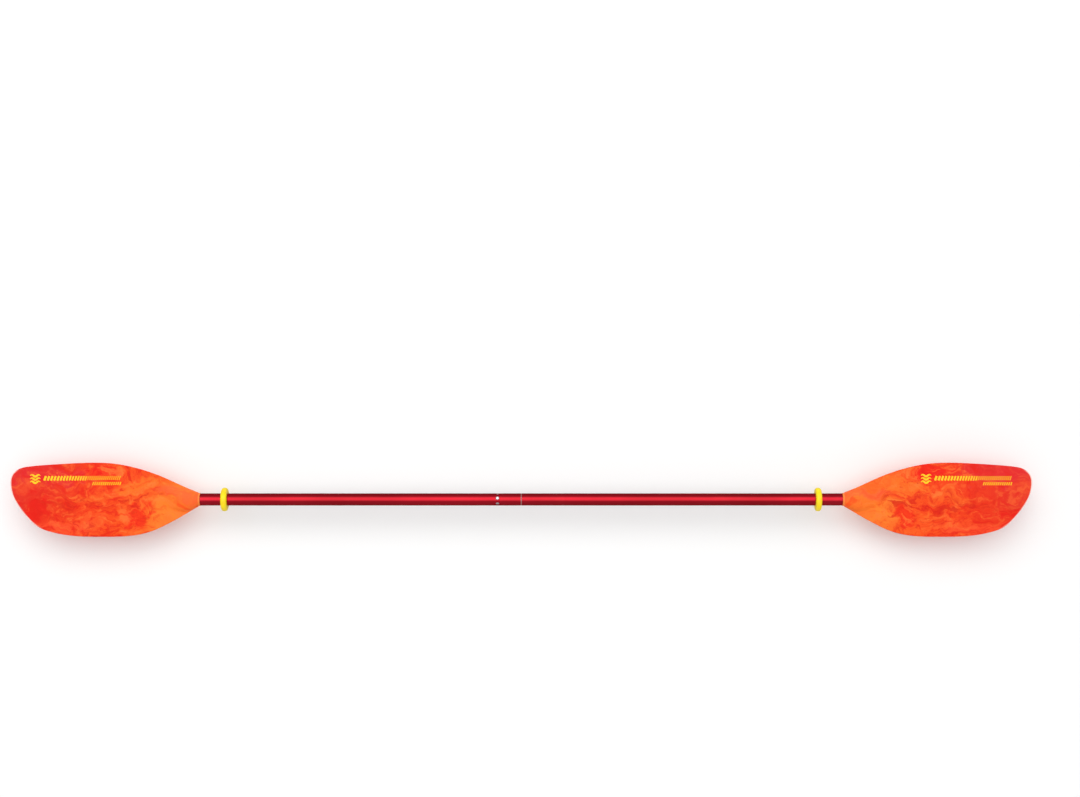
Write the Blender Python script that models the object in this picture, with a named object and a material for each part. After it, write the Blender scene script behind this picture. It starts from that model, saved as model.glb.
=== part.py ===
"""Two-piece kayak paddle: two moulded blades on an aluminium shaft that pulls apart in the middle.

The shaft lies along X with its middle seam at the origin, the long edge of each blade is
toward +Y and the power face of each blade is toward +Z.  Sizes are in metres.
"""

import math

import bmesh
import bpy
from mathutils import Matrix, Vector

MM = 0.001

# ---- overall sizes -----------------------------------------------------------------
TOTAL_LENGTH = 2400 * MM
BLADE_LENGTH = 443.5 * MM  # the part of a blade outside its tube
BLADE_WIDTH = 176 * MM
SHAFT_OD = 28.6 * MM
SHAFT_WALL = 1.25 * MM

# ---- fits ----------------------------------------------------------------------------
FIT = 0.3 * MM  # all round between a piece and what it slides or sits in
END_GAP = 0.3 * MM  # between faces that meet end to end

# ---- blade ---------------------------------------------------------------------------
NECK_LIP = 1.0 * MM  # the neck stands this proud of the tube
RIM_HALF = 1.1 * MM  # half the thickness at the rounded rim
SPINE_HALF = 1.9 * MM  # half the thickness of the plate at its middle
TIP_RISE = 17 * MM  # spoon: how far the tip lies toward the power face
DIHEDRAL_DROP = 3.0 * MM  # how far the edges fall away from the middle ridge
RIB_LENGTH = 330 * MM  # the back rib runs this far from the neck
NOSE_LENGTH = 120 * MM  # the neck sinks into the power face over this length
ROOT_LENGTH = 62 * MM  # the plate grows out of the neck over this length
TANG_LENGTH = 62 * MM
TANG_WALL = 3.0 * MM
TANG_BORE_DEPTH = 50 * MM

# Blade outline: (share of length, share of half width, direction in degrees, reach before
# and after the point as shares of the length).  None is the neck's own radius.
LONG_EDGE = (
    (0.0, None, 14, 0.0, 0.03),
    (0.162, 0.518, 25, 0.063, 0.094),
    (0.521, 0.983, 1.5, 0.134, 0.1),
    (0.778, 0.94, -3.4, 0.078, 0.05),
    (0.918, 0.877, -8, 0.045, 0.04),
    (1.0, 0.477, -90, 0.054, 0.0),
)
SHORT_EDGE = (
    (0.0, None, -20, 0.0, 0.03),
    (0.135, -0.553, -28, 0.063, 0.13),
    (0.485, -1.0, 0, 0.185, 0.094),
    (0.761, -0.9, 13.5, 0.09, 0.05),
    (0.895, -0.565, 48, 0.058, 0.058),
    (1.0, 0.477, 90, 0.09, 0.0),
)
STATIONS_PER_SPAN = 7
HALF_STEPS = 9  # steps from the middle of a section to its rim

# ---- joint in the middle -------------------------------------------------------------
SEAL_WIDTH = 1.6 * MM
FERRULE_WALL = 1.6 * MM
FERRULE_INSERTED = 110 * MM  # length that slides into the left tube
FERRULE_FIXED = 70 * MM  # length that stays in the right tube
BUTTON_FROM_SEAM = 56 * MM
BUTTON_DIAMETER = 8.0 * MM
BUTTON_STANDS_OUT = 2.6 * MM
BUTTON_DOME = 1.6 * MM
BUTTON_ANGLE = 15.0  # degrees from the power face's direction toward the long edge
FEATHER_STEP = 60.0  # degrees between the three holes
SPRING_WIDTH = 6.0 * MM
SPRING_THICKNESS = 0.6 * MM
SPRING_LEG = 44 * MM

# ---- drip rings -----------------------------------------------------------------------
RING_OD = 55 * MM
RING_WIDTH = 13.7 * MM
RING_CORNER = 5.2 * MM
RING_FROM_BLADE = 57 * MM  # middle of a ring to the end of its tube
RING_LIP_DEPTH = 0.9 * MM
RING_LIP_WIDTH = 3.2 * MM

# ---- blade rivets and foam plugs --------------------------------------------------------
RIVET_SHANK = 4.0 * MM
RIVET_HEAD = 8.0 * MM
RIVET_HEAD_HEIGHT = 1.5 * MM
RIVET_FROM_BLADE = 26 * MM
RIVET_DEPTH = 5.5 * MM  # how far a shank goes in past the tube's outside
FERRULE_RIVET_FROM_SEAM = 36 * MM
PLUG_LENGTH = 40 * MM
PLUG_FROM_TANG = 30 * MM

ROUND = 48  # sides of a tube
SMALL_ROUND = 24  # sides of a button or a rivet

SHAFT_R = SHAFT_OD / 2
BORE_R = SHAFT_R - SHAFT_WALL
FERRULE_R = BORE_R - FIT
FERRULE_BORE_R = FERRULE_R - FERRULE_WALL
NECK_R = SHAFT_R + NECK_LIP
TUBE_END = TOTAL_LENGTH / 2 - BLADE_LENGTH - END_GAP
SEAM_HALF = SEAL_WIDTH / 2 + END_GAP


def clear_scene():
    for obj in list(bpy.data.objects):
        bpy.data.objects.remove(obj, do_unlink=True)
    body = bpy.data.collections.new("kayak_paddle")
    cutters = bpy.data.collections.new("cutters")
    for collection in (body, cutters):
        bpy.context.scene.collection.children.link(collection)
    cutters.hide_render = True
    return body, cutters


def material(name, colour, metallic=0.0, roughness=0.5):
    made = bpy.data.materials.new(name)
    made.use_nodes = True
    shader = made.node_tree.nodes["Principled BSDF"]
    shader.inputs["Base Color"].default_value = (*colour, 1.0)
    shader.inputs["Metallic"].default_value = metallic
    shader.inputs["Roughness"].default_value = roughness
    made.diffuse_color = (*colour, 1.0)
    return made


def add_object(name, bm, collection, finish=None, origin=(0, 0, 0), smooth=40):
    """Makes an object from a bmesh whose points are in world space, with its origin placed."""
    bmesh.ops.recalc_face_normals(bm, faces=bm.faces)
    bm.transform(Matrix.Translation(-Vector(origin)))
    mesh = bpy.data.meshes.new(name)
    bm.to_mesh(mesh)
    bm.free()
    if smooth:
        mesh.shade_smooth()
        mesh.set_sharp_from_angle(angle=math.radians(smooth))
    obj = bpy.data.objects.new(name, mesh)
    obj.location = origin
    collection.objects.link(obj)
    if finish:
        mesh.materials.append(finish)
    return obj


def revolve_x(profile, sides=ROUND):
    """A closed ring of (x, radius) points turned about the X axis."""
    bm = bmesh.new()
    rings = []
    for i in range(sides):
        turn = 2 * math.pi * i / sides
        across, up = math.sin(turn), math.cos(turn)
        rings.append([bm.verts.new((x, r * across, r * up)) for x, r in profile])
    count = len(profile)
    for i in range(sides):
        here, there = rings[i], rings[(i + 1) % sides]
        for j in range(count):
            k = (j + 1) % count
            bm.faces.new((here[j], here[k], there[k], there[j]))
    return bm


def solid_turned(profile, sides=SMALL_ROUND):
    """An open (height, radius) profile turned about Z, closed with a flat face at each end."""
    bm = bmesh.new()
    rings = []
    for height, radius in profile:
        rings.append([])
        for i in range(sides):
            turn = 2 * math.pi * i / sides
            rings[-1].append(bm.verts.new((radius * math.cos(turn), radius * math.sin(turn), height)))
    for low, high in zip(rings, rings[1:]):
        for i in range(sides):
            k = (i + 1) % sides
            bm.faces.new((low[i], low[k], high[k], high[i]))
    bm.faces.new(reversed(rings[0]))
    bm.faces.new(rings[-1])
    return bm


def outward(angle):
    """Unit vector square to the shaft, at an angle from +Z toward +Y."""
    turn = math.radians(angle)
    return Vector((0, math.sin(turn), math.cos(turn)))


def stand(bm, x, angle):
    """Turns a shape made along Z so that it stands out of the shaft at x."""
    bm.transform(Matrix.Translation((x, 0, 0)) @ Matrix.Rotation(-math.radians(angle), 4, "X"))
    return bm


def cut(obj, name, x, angle, diameter, reach, cutters):
    """Bores a round hole in from the outside of obj; reach is (inner, outer) radius."""
    radius = diameter / 2
    tool = add_object(name, stand(solid_turned(((reach[0], radius), (reach[1], radius))), x, angle),
                      cutters, smooth=0)
    tool.display_type = "WIRE"
    bore = obj.modifiers.new(name, "BOOLEAN")
    bore.operation = "DIFFERENCE"
    bore.solver = "EXACT"
    bore.object = tool


# ---- blade ---------------------------------------------------------------------------


def edge_points(knots):
    """Points (u, v) along one edge of the blade, from the neck to the tip."""
    points = []
    for (u0, v0, d0, _, out), (u1, v1, d1, into, _) in zip(knots, knots[1:]):
        start = Vector((u0 * BLADE_LENGTH, edge_height(knots, v0)))
        end = Vector((u1 * BLADE_LENGTH, edge_height(knots, v1)))
        leave = start + direction(d0) * out * BLADE_LENGTH
        arrive = end - direction(d1) * into * BLADE_LENGTH
        for i in range(STATIONS_PER_SPAN):
            t = i / STATIONS_PER_SPAN
            if u1 == 1.0:
                t = math.sin(t * math.pi / 2)
            s = 1 - t
            points.append(s**3 * start + 3 * s * s * t * leave + 3 * s * t * t * arrive + t**3 * end)
    points.append(end)
    return points


def edge_height(knots, share):
    if share is None:
        return math.copysign(NECK_R, knots[1][1])
    return share * BLADE_WIDTH / 2


def direction(degrees):
    turn = math.radians(degrees)
    return Vector((math.cos(turn), math.sin(turn)))


def inward(points, index, side):
    """Unit vector in the blade's plane, square to the edge and toward the middle of the blade."""
    before = points[max(index - 1, 0)]
    after = points[min(index + 1, len(points) - 1)]
    if index == len(points) - 1:
        return Vector((-1, 0))
    along = (after - before).normalized()
    return Vector((along.y, -along.x)) * side


def smooth_step(value, low, high):
    t = min(max((value - low) / (high - low), 0.0), 1.0)
    return t * t * (3 - 2 * t)


def middle_surface(u, v):
    """Height of the surface midway between the two faces: the spoon and the dihedral."""
    share = max(u, 0.0) / BLADE_LENGTH
    spoon = TIP_RISE * share**2
    ridge = math.sqrt((v / BLADE_WIDTH) ** 2 * 4 + 0.012) - math.sqrt(0.012)
    return spoon - DIHEDRAL_DROP * ridge * smooth_step(share, 0.03, 0.35)


def plate_half(u, v):
    """Half the thickness of the plain plate."""
    share = min(abs(v) / (BLADE_WIDTH / 2), 1.0)
    middle = SPINE_HALF - (SPINE_HALF - RIM_HALF) * 0.4 * u / BLADE_LENGTH
    return RIM_HALF + (middle - RIM_HALF) * (1 - share**2)


def rib_width(u):
    """Half the width of the rib that runs on from the neck."""
    return NECK_R * (1 - 0.62 * smooth_step(u, 0.0, RIB_LENGTH))


def rib_height(u, back):
    return NECK_R * (1 - smooth_step(u, 0.0, RIB_LENGTH if back else NOSE_LENGTH))


def bulge_width(u, reach):
    """Half the width of a section's round part: all of it at the neck, the rib further out."""
    return reach + (min(rib_width(u), reach) - reach) * smooth_step(u, 0.0, 1.5 * ROOT_LENGTH)


def face_height(u, v, reach, back):
    """Distance from the middle surface to the power face or to the back."""
    plate = plate_half(u, v) * smooth_step(u, 0.0, ROOT_LENGTH)
    share = min(abs(v) / bulge_width(u, reach), 1.0)
    rib = rib_height(u, back) * math.sqrt(1 - share * share)
    return (plate**3 + rib**3) ** (1 / 3)


def half_section(rim, inset, middle):
    """Points (u, v, fullness, reach) from the middle of a section to one rim."""
    reach = (rim - middle).length
    rib = bulge_width(middle.x, reach)
    sharp = smooth_step(middle.x, 0.0, 1.5 * ROOT_LENGTH)
    flat = (inset - middle).length
    spread = [0.0, 0.42 * rib, 0.78 * rib, 0.97 * rib, 1.2 * rib]
    spread += [1.2 * rib + (flat - 1.2 * rib) * k / 3 for k in (1, 2)] + [flat]
    points = []
    for i in range(HALF_STEPS + 1):
        turn = math.pi / 2 * i / HALF_STEPS
        round_place = middle.lerp(rim, math.sin(turn))
        if i == HALF_STEPS:
            points.append((rim.x, rim.y, 0.0, reach))
            continue
        if i == HALF_STEPS - 1:
            plate_place, full = inset.lerp(rim, 0.7), 0.7
        else:
            plate_place = middle.lerp(inset, min(spread[i], flat) / flat if flat else 0.0)
            full = 1.0
        place = round_place.lerp(plate_place, sharp)
        points.append((place.x, place.y, 1.0 + (full - 1.0) * sharp, reach))
    return points


def blade_sections():
    """For each station, the points of the middle surface from the long edge to the short one."""
    long_edge, short_edge = edge_points(LONG_EDGE), edge_points(SHORT_EDGE)
    last = len(long_edge) - 1
    tip = long_edge[-1]
    sections = []
    for k in range(last):
        upper, lower = long_edge[k], short_edge[k]
        along = (upper.x + lower.x) / 2
        drift = smooth_step(k / last, 0.55, 1.0)
        middle = Vector((along, 0)).lerp(Vector((along, tip.y)), drift)
        sides = []
        for rim, points, side in ((upper, long_edge, 1), (lower, short_edge, -1)):
            inset = rim + inward(points, k, side) * min(RIM_HALF, (rim - middle).length / 2)
            sides.append(half_section(rim, inset, middle))
        sections.append(list(reversed(sides[0])) + sides[1][1:])
    return sections, tip


def blade_surface():
    """The blade outside its tube, along +X from the origin, as an open shell at the neck."""
    sections, tip = blade_sections()
    bm = bmesh.new()
    loops = []
    for section in sections:
        front, back = [], []
        for i, (u, v, full, reach) in enumerate(section):
            middle = middle_surface(u, v)
            if i in (0, len(section) - 1):
                front.append(bm.verts.new((u, v, middle)))
                back.append(front[-1])
                continue
            front.append(bm.verts.new((u, v, middle + full * face_height(u, v, reach, False))))
            back.append(bm.verts.new((u, v, middle - full * face_height(u, v, reach, True))))
        loops.append(front + list(reversed(back[1:-1])))
    for here, there in zip(loops, loops[1:]):
        for i in range(len(here)):
            k = (i + 1) % len(here)
            bm.faces.new((here[i], here[k], there[k], there[i]))
    close_tip(bm, loops[-1], tip)
    return bm, loops[0]


def close_tip(bm, loop, tip):
    """Joins the last section to the tip: the two rims meet in one point of the middle surface."""
    nose = bm.verts.new((tip.x, tip.y, middle_surface(tip.x, tip.y)))
    for i in range(len(loop)):
        bm.faces.new((loop[i], loop[(i + 1) % len(loop)], nose))


def add_tang(bm, neck):
    """Shoulder, tang and the tang's blind bore, back along -X from the neck loop."""
    tang_r = BORE_R - FIT
    bore_r = tang_r - TANG_WALL
    mouth = -TANG_LENGTH
    steps = (
        (0.0, tang_r),
        (mouth + 1.5 * MM, tang_r),
        (mouth, tang_r - 1.5 * MM),
        (mouth, bore_r),
        (mouth + TANG_BORE_DEPTH, bore_r),
    )
    loop = neck
    for x, radius in steps:
        ring = []
        for vert in neck:
            out = Vector((0, vert.co.y, vert.co.z)).normalized()
            ring.append(bm.verts.new((x, out.y * radius, out.z * radius)))
        for i in range(len(loop)):
            k = (i + 1) % len(loop)
            bm.faces.new((loop[i], loop[k], ring[k], ring[i]))
        loop = ring
    bm.faces.new(loop)


def build_blade(name, side, finish, body, cutters):
    """One blade; side is 1 for the right end of the shaft and -1 for the left."""
    bm, neck = blade_surface()
    add_tang(bm, neck)
    bm.transform(Matrix.Translation((TUBE_END + END_GAP, 0, 0)))
    bm.transform(Matrix.Diagonal((side, 1, 1, 1)))
    bmesh.ops.recalc_face_normals(bm, faces=bm.faces)
    obj = add_object(name, bm, body, finish, smooth=50)
    hole = RIVET_SHANK + 2 * FIT
    cut(obj, name + "_rivet_hole", side * (TUBE_END - RIVET_FROM_BLADE), 180, hole,
        (SHAFT_R - RIVET_DEPTH - FIT, NECK_R + FIT), cutters)
    return obj


# ---- shaft ---------------------------------------------------------------------------


def build_tube(name, side, finish, body, cutters):
    near, far = SEAM_HALF, TUBE_END
    chamfer = 0.3 * MM
    profile = [
        (near + chamfer, SHAFT_R), (far - chamfer, SHAFT_R), (far, SHAFT_R - chamfer),
        (far, BORE_R), (near, BORE_R), (near, SHAFT_R - chamfer),
    ]
    bm = revolve_x([(side * x, r) for x, r in profile])
    obj = add_object(name, bm, body, finish)
    reach = (BORE_R - 2 * MM, NECK_R + FIT)
    hole = RIVET_SHANK + 2 * FIT
    cut(obj, name + "_blade_hole", side * (TUBE_END - RIVET_FROM_BLADE), 180, hole, reach, cutters)
    if side > 0:
        cut(obj, name + "_ferrule_hole", FERRULE_RIVET_FROM_SEAM, 180, hole, reach, cutters)
        return obj
    for number, step in enumerate((0, 1, -1)):
        angle = BUTTON_ANGLE + step * FEATHER_STEP
        cut(obj, f"{name}_feather_hole_{number}", -BUTTON_FROM_SEAM, angle,
            BUTTON_DIAMETER + 2 * FIT, reach, cutters)
    return obj


def build_seal(finish, body):
    half = SEAL_WIDTH / 2
    round_off = 0.3 * MM
    inner = FERRULE_R + FIT
    profile = [
        (-half, inner), (half, inner), (half, SHAFT_R - round_off), (half - round_off, SHAFT_R),
        (-half + round_off, SHAFT_R), (-half, SHAFT_R - round_off),
    ]
    return add_object("joint_seal_ring", revolve_x(profile), body, finish)


def build_ferrule(finish, body, cutters):
    lead = 2.0 * MM
    start, end = -FERRULE_INSERTED, FERRULE_FIXED
    profile = [
        (start, FERRULE_R - 0.6 * MM), (start + lead, FERRULE_R), (end, FERRULE_R),
        (end, FERRULE_BORE_R), (start, FERRULE_BORE_R),
    ]
    obj = add_object("ferrule_sleeve", revolve_x(profile), body, finish)
    reach = (FERRULE_BORE_R - 2 * MM, SHAFT_R)
    cut(obj, "ferrule_button_hole", -BUTTON_FROM_SEAM, BUTTON_ANGLE, BUTTON_DIAMETER + 2 * FIT,
        reach, cutters)
    cut(obj, "ferrule_rivet_hole", FERRULE_RIVET_FROM_SEAM, 180, RIVET_SHANK + 2 * FIT,
        reach, cutters)
    return obj


def build_button(finish, body):
    """Snap button, with its origin on its own axis at the shaft's surface."""
    radius = BUTTON_DIAMETER / 2
    top = SHAFT_R + BUTTON_STANDS_OUT
    foot = button_foot()
    profile = [(foot, radius + 1.1 * MM), (foot + 0.8 * MM, radius + 1.1 * MM),
               (foot + 0.8 * MM, radius), (top - BUTTON_DOME, radius)]
    for step in (0.35, 0.65, 0.88, 0.985):
        profile.append((top - BUTTON_DOME * (1 - math.sin(step * math.pi / 2)),
                        radius * (1 - (1 - math.cos(step * math.pi / 2)) * 0.92)))
    bm = stand(solid_turned(profile), -BUTTON_FROM_SEAM, BUTTON_ANGLE)
    origin = Vector((-BUTTON_FROM_SEAM, 0, 0)) + outward(BUTTON_ANGLE) * SHAFT_R
    return add_object("snap_button", bm, body, finish, origin, smooth=50)


def button_foot():
    """Radius at which the underside of the button's collar lies, clear of the ferrule's bore."""
    collar = BUTTON_DIAMETER / 2 + 1.1 * MM
    return math.sqrt(FERRULE_BORE_R**2 - collar**2) - 0.8 * MM - FIT * 1.5


def build_spring(finish, body):
    """Bent leaf inside the ferrule: one leg under the button, one on the opposite wall."""
    top = button_foot() - FIT - SPRING_THICKNESS / 2
    low = -math.sqrt(FERRULE_BORE_R**2 - (SPRING_WIDTH / 2) ** 2) + FIT + SPRING_THICKNESS / 2
    end = BUTTON_DIAMETER / 2 + 1.5 * MM
    path = [(-end, top), (end, top)]
    bend_x, bend_r = SPRING_LEG, 2.4 * MM
    centre = (top + low) / 2
    path += [(bend_x - 6 * MM, centre + bend_r + 1.4 * MM)]
    for i in range(7):
        turn = math.radians(72 - 24 * i)
        path.append((bend_x + bend_r * math.cos(turn), centre + bend_r * math.sin(turn)))
    path += [(bend_x - 6 * MM, centre - bend_r - 1.4 * MM), (end, low), (-end, low)]
    bm = strip(path)
    stand(bm, -BUTTON_FROM_SEAM, BUTTON_ANGLE)
    return add_object("button_spring", bm, body, finish, smooth=40)


def strip(path):
    """A flat strip of the spring's width and thickness along a path of (x, height) points."""
    bm = bmesh.new()
    rings = []
    for i, (x, z) in enumerate(path):
        before = Vector(path[max(i - 1, 0)])
        after = Vector(path[min(i + 1, len(path) - 1)])
        along = (after - before).normalized()
        side = Vector((-along.y, along.x)) * SPRING_THICKNESS / 2
        ring = []
        for across, way in ((-1, -1), (1, -1), (1, 1), (-1, 1)):
            ring.append(bm.verts.new((x + side.x * way, across * SPRING_WIDTH / 2, z + side.y * way)))
        rings.append(ring)
    for here, there in zip(rings, rings[1:]):
        for i in range(4):
            k = (i + 1) % 4
            bm.faces.new((here[i], here[k], there[k], there[i]))
    bm.faces.new(reversed(rings[0]))
    bm.faces.new(rings[-1])
    return bm


# ---- rivets, rings and plugs ------------------------------------------------------------


def build_rivet(name, x, inner, finish, body):
    """Blind rivet on the underside of the shaft: domed head outside, shank inward."""
    shank, head = RIVET_SHANK / 2, RIVET_HEAD / 2
    under = SHAFT_R + FIT
    profile = [(inner, shank), (under, shank), (under, head), (under + 0.4 * MM, head)]
    for step in (0.4, 0.75, 0.95):
        profile.append((under + 0.4 * MM + (RIVET_HEAD_HEIGHT - 0.4 * MM) * math.sin(step * math.pi / 2),
                        head * math.cos(step * math.pi / 2) + 0.3 * MM * step))
    bm = stand(solid_turned(profile, 20), x, 180)
    return add_object(name, bm, body, finish, smooth=50)


def ring_profile(middle):
    """Drip ring section: rounded outside corners, flat sides, two grip lips in the bore."""
    half = RING_WIDTH / 2
    bore = SHAFT_R + FIT
    outer = RING_OD / 2
    profile = []
    for centre, start in ((half - RING_CORNER, 0), (RING_CORNER - half, 90)):
        for i in range(6):
            turn = math.radians(start + 90 * i / 5)
            profile.append((centre + RING_CORNER * math.cos(turn),
                            outer - RING_CORNER + RING_CORNER * math.sin(turn)))
    chamfer = 0.8 * MM
    groove = bore + RING_LIP_DEPTH
    profile += [
        (-half, bore + chamfer), (-half + chamfer, bore), (-half + RING_LIP_WIDTH, bore),
        (-half + RING_LIP_WIDTH + RING_LIP_DEPTH, groove),
        (half - RING_LIP_WIDTH - RING_LIP_DEPTH, groove),
        (half - RING_LIP_WIDTH, bore), (half - chamfer, bore), (half, bore + chamfer),
    ]
    return [(middle + x, r) for x, r in profile]


def build_ring(name, side, finish, body):
    x = side * (TUBE_END - RING_FROM_BLADE)
    return add_object(name, revolve_x(ring_profile(x)), body, finish, origin=(x, 0, 0), smooth=45)


def build_plug(name, side, finish, body):
    start = TUBE_END - TANG_LENGTH - PLUG_FROM_TANG
    end = start - PLUG_LENGTH
    radius = BORE_R - FIT
    chamfer = 1.0 * MM
    profile = [(end, radius - chamfer), (end + chamfer, radius), (start - chamfer, radius),
               (start, radius - chamfer)]
    bm = solid_turned(profile, 32)
    bm.transform(Matrix.Rotation(math.radians(90 * side), 4, "Y"))
    return add_object(name, bm, body, finish)


def main():
    body, cutters = clear_scene()
    blade = material("blade_plastic", (0.85, 0.1, 0.03), roughness=0.4)
    shaft = material("anodised_tube", (0.6, 0.02, 0.03), metallic=0.9, roughness=0.3)
    sleeve = material("sleeve_metal", (0.7, 0.7, 0.72), metallic=1.0, roughness=0.35)
    steel = material("spring_steel", (0.6, 0.6, 0.6), metallic=1.0, roughness=0.25)
    seal = material("seal_rubber", (0.75, 0.75, 0.72), roughness=0.6)
    rubber = material("ring_rubber", (0.95, 0.75, 0.0), roughness=0.5)
    foam = material("plug_foam", (0.1, 0.1, 0.1), roughness=0.95)
    for word, side in (("left", -1), ("right", 1)):
        build_blade(f"{word}_blade", side, blade, body, cutters)
        build_tube(f"{word}_shaft_tube", side, shaft, body, cutters)
        build_ring(f"{word}_drip_ring", side, rubber, body)
        build_rivet(f"{word}_blade_rivet", side * (TUBE_END - RIVET_FROM_BLADE),
                    SHAFT_R - RIVET_DEPTH, steel, body)
        build_plug(f"{word}_foam_plug", side, foam, body)
    build_seal(seal, body)
    build_ferrule(sleeve, body, cutters)
    build_rivet("ferrule_rivet", FERRULE_RIVET_FROM_SEAM, FERRULE_BORE_R - 1.5 * MM, steel, body)
    build_button(steel, body)
    build_spring(steel, body)


main()
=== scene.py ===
"""Studio dress of a two-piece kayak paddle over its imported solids.

The shaft lies along X with its middle seam at the origin, the power faces look up (+Z) and
the long edges of the blades are toward +Y.  Every size is in metres.
"""

import logging
import math
from dataclasses import dataclass
from enum import Enum
from typing import Callable, Iterable, Optional, Sequence

import bpy
from mathutils import Matrix, Vector
from mathutils.kdtree import KDTree


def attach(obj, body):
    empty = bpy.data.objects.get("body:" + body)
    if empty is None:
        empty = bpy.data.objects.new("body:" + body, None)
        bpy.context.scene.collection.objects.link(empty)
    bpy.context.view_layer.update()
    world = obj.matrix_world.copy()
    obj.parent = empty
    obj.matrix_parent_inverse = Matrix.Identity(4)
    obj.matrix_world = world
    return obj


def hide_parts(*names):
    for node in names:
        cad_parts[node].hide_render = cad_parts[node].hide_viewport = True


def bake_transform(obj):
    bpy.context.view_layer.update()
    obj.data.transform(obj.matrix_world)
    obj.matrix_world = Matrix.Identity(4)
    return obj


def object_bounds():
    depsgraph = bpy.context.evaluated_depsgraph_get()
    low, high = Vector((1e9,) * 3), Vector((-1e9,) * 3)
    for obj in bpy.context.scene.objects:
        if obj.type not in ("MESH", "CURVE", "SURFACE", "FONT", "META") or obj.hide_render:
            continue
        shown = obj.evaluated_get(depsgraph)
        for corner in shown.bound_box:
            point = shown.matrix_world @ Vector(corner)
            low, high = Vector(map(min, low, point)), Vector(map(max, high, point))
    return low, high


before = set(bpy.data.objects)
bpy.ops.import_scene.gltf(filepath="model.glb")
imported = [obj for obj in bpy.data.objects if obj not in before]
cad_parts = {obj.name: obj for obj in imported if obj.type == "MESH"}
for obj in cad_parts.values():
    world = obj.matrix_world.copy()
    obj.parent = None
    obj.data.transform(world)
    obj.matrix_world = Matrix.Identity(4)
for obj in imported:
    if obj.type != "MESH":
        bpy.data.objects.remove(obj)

log = logging.getLogger("paddle")
cad_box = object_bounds()

MM = 0.001
SHAFT_R = 14.3 * MM
BORE_R = 13.05 * MM
NECK_R = 15.3 * MM
FIT = 0.3 * MM
TUBE_END = 756.2 * MM
BLADE_START = TUBE_END + FIT
BUTTON_X = -56 * MM
BUTTON_ANGLE = 15.0
FEATHER_STEP = 60.0
FLOOR_ROOM = 6 * MM
RIVET_FROM_BLADE = 26 * MM
FERRULE_RIVET_X = 36 * MM
RIVET_ANGLE = 180.0
RIVET_HOLE_R = 2.3 * MM
BUTTON_HOLE_R = 4.3 * MM
BESIDE_HOLE = 7 * MM
BESIDE_RIVET = 6 * MM
Point2 = tuple[float, float]


class Half(Enum):
    """Which half of the paddle a piece belongs to; the value is the sign of its X."""

    LEFT = -1
    RIGHT = 1

    @property
    def word(self) -> str:
        """Name of the half, as used in piece names."""
        return self.name.lower()

    @property
    def body(self) -> str:
        """Name of the rigid body that the half's fixed pieces ride on."""
        return f"{self.word}_half"


class Grain(Enum):
    """Fine relief of a surface, with its scale per metre and its height."""

    MOULDED = (1400.0, 0.00006)
    RUBBER = (900.0, 0.00005)
    DRAWN = (2600.0, 0.000015)
    FOAM = (420.0, 0.0006)


# ---------------------------------------------------------------- modelling helpers


def smooth_step(value: float, low: float, high: float) -> float:
    """Eases from 0 at low to 1 at high.

    Args:
        value: Where to read the curve.
        low: Value at which the rise starts.
        high: Value at which it ends.

    Returns:
        A number from 0 to 1.
    """
    t = min(max((value - low) / (high - low), 0.0), 1.0)
    return t * t * (3 - 2 * t)


def deselect_all() -> None:
    """Leaves nothing selected and no object active."""
    if bpy.context.object and bpy.context.object.mode != "OBJECT":
        bpy.ops.object.mode_set(mode="OBJECT")
    bpy.ops.object.select_all(action="DESELECT")
    bpy.context.view_layer.objects.active = None


def take(obj: bpy.types.Object) -> None:
    """Selects one object alone and makes it active."""
    deselect_all()
    obj.select_set(True)
    bpy.context.view_layer.objects.active = obj


def edit(obj: bpy.types.Object, mode: str = "VERT") -> None:
    """Goes into edit mode on one object with a select mode."""
    take(obj)
    bpy.ops.object.mode_set(mode="EDIT")
    bpy.ops.mesh.select_mode(type=mode)


def finish_shape(obj: bpy.types.Object, name: str, angle: float = 35.0) -> bpy.types.Object:
    """Merges doubles, turns the faces outward, applies the place and shades by angle.

    Args:
        obj: The modelled piece.
        name: The piece's name.
        angle: Edges sharper than this, in degrees, stay crisp.

    Returns:
        The same object, at the origin and unturned.
    """
    edit(obj)
    bpy.ops.mesh.select_all(action="SELECT")
    bpy.ops.mesh.remove_doubles(threshold=0.000002)
    bpy.ops.mesh.normals_make_consistent(inside=False)
    bpy.ops.object.mode_set(mode="OBJECT")
    bpy.ops.object.transform_apply(location=True, rotation=True, scale=True)
    bpy.ops.object.shade_smooth_by_angle(angle=math.radians(angle))
    obj.name = name
    obj.data.name = name
    return obj


def spin_profile(
    profile: Sequence[Point2], steps: int = 96, closed: bool = True, angle: float = 35.0,
    name: str = "turned", place: Optional[Matrix] = None,
) -> bpy.types.Object:
    """Turns a profile about the X axis.

    Args:
        profile: Points (x, radius); an open profile starts and ends on the axis.
        steps: Sides of the turned piece.
        closed: Whether the last point joins the first.
        angle: Edges sharper than this, in degrees, stay crisp.
        name: The piece's name.
        place: Where the turned piece goes, if not on the X axis itself.

    Returns:
        The turned piece.
    """
    deselect_all()
    bpy.ops.mesh.primitive_circle_add(vertices=len(profile), radius=0.01, fill_type="NOTHING")
    obj = bpy.context.object
    for vertex, (x, radius) in zip(obj.data.vertices, profile):
        vertex.co = (x, 0.0, radius)
    if not closed:
        last = len(profile) - 1
        for edge in obj.data.edges:
            edge.select = set(edge.vertices) == {0, last}
        for vertex in obj.data.vertices:
            vertex.select = vertex.index in (0, last)
        edit(obj, "EDGE")
        bpy.ops.mesh.delete(type="EDGE")
    edit(obj)
    bpy.ops.mesh.select_all(action="SELECT")
    bpy.ops.mesh.spin(steps=steps, angle=2 * math.pi, center=(0, 0, 0), axis=(1, 0, 0))
    bpy.ops.object.mode_set(mode="OBJECT")
    if place is not None:
        obj.matrix_world = place
    return finish_shape(obj, name, angle)


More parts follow.
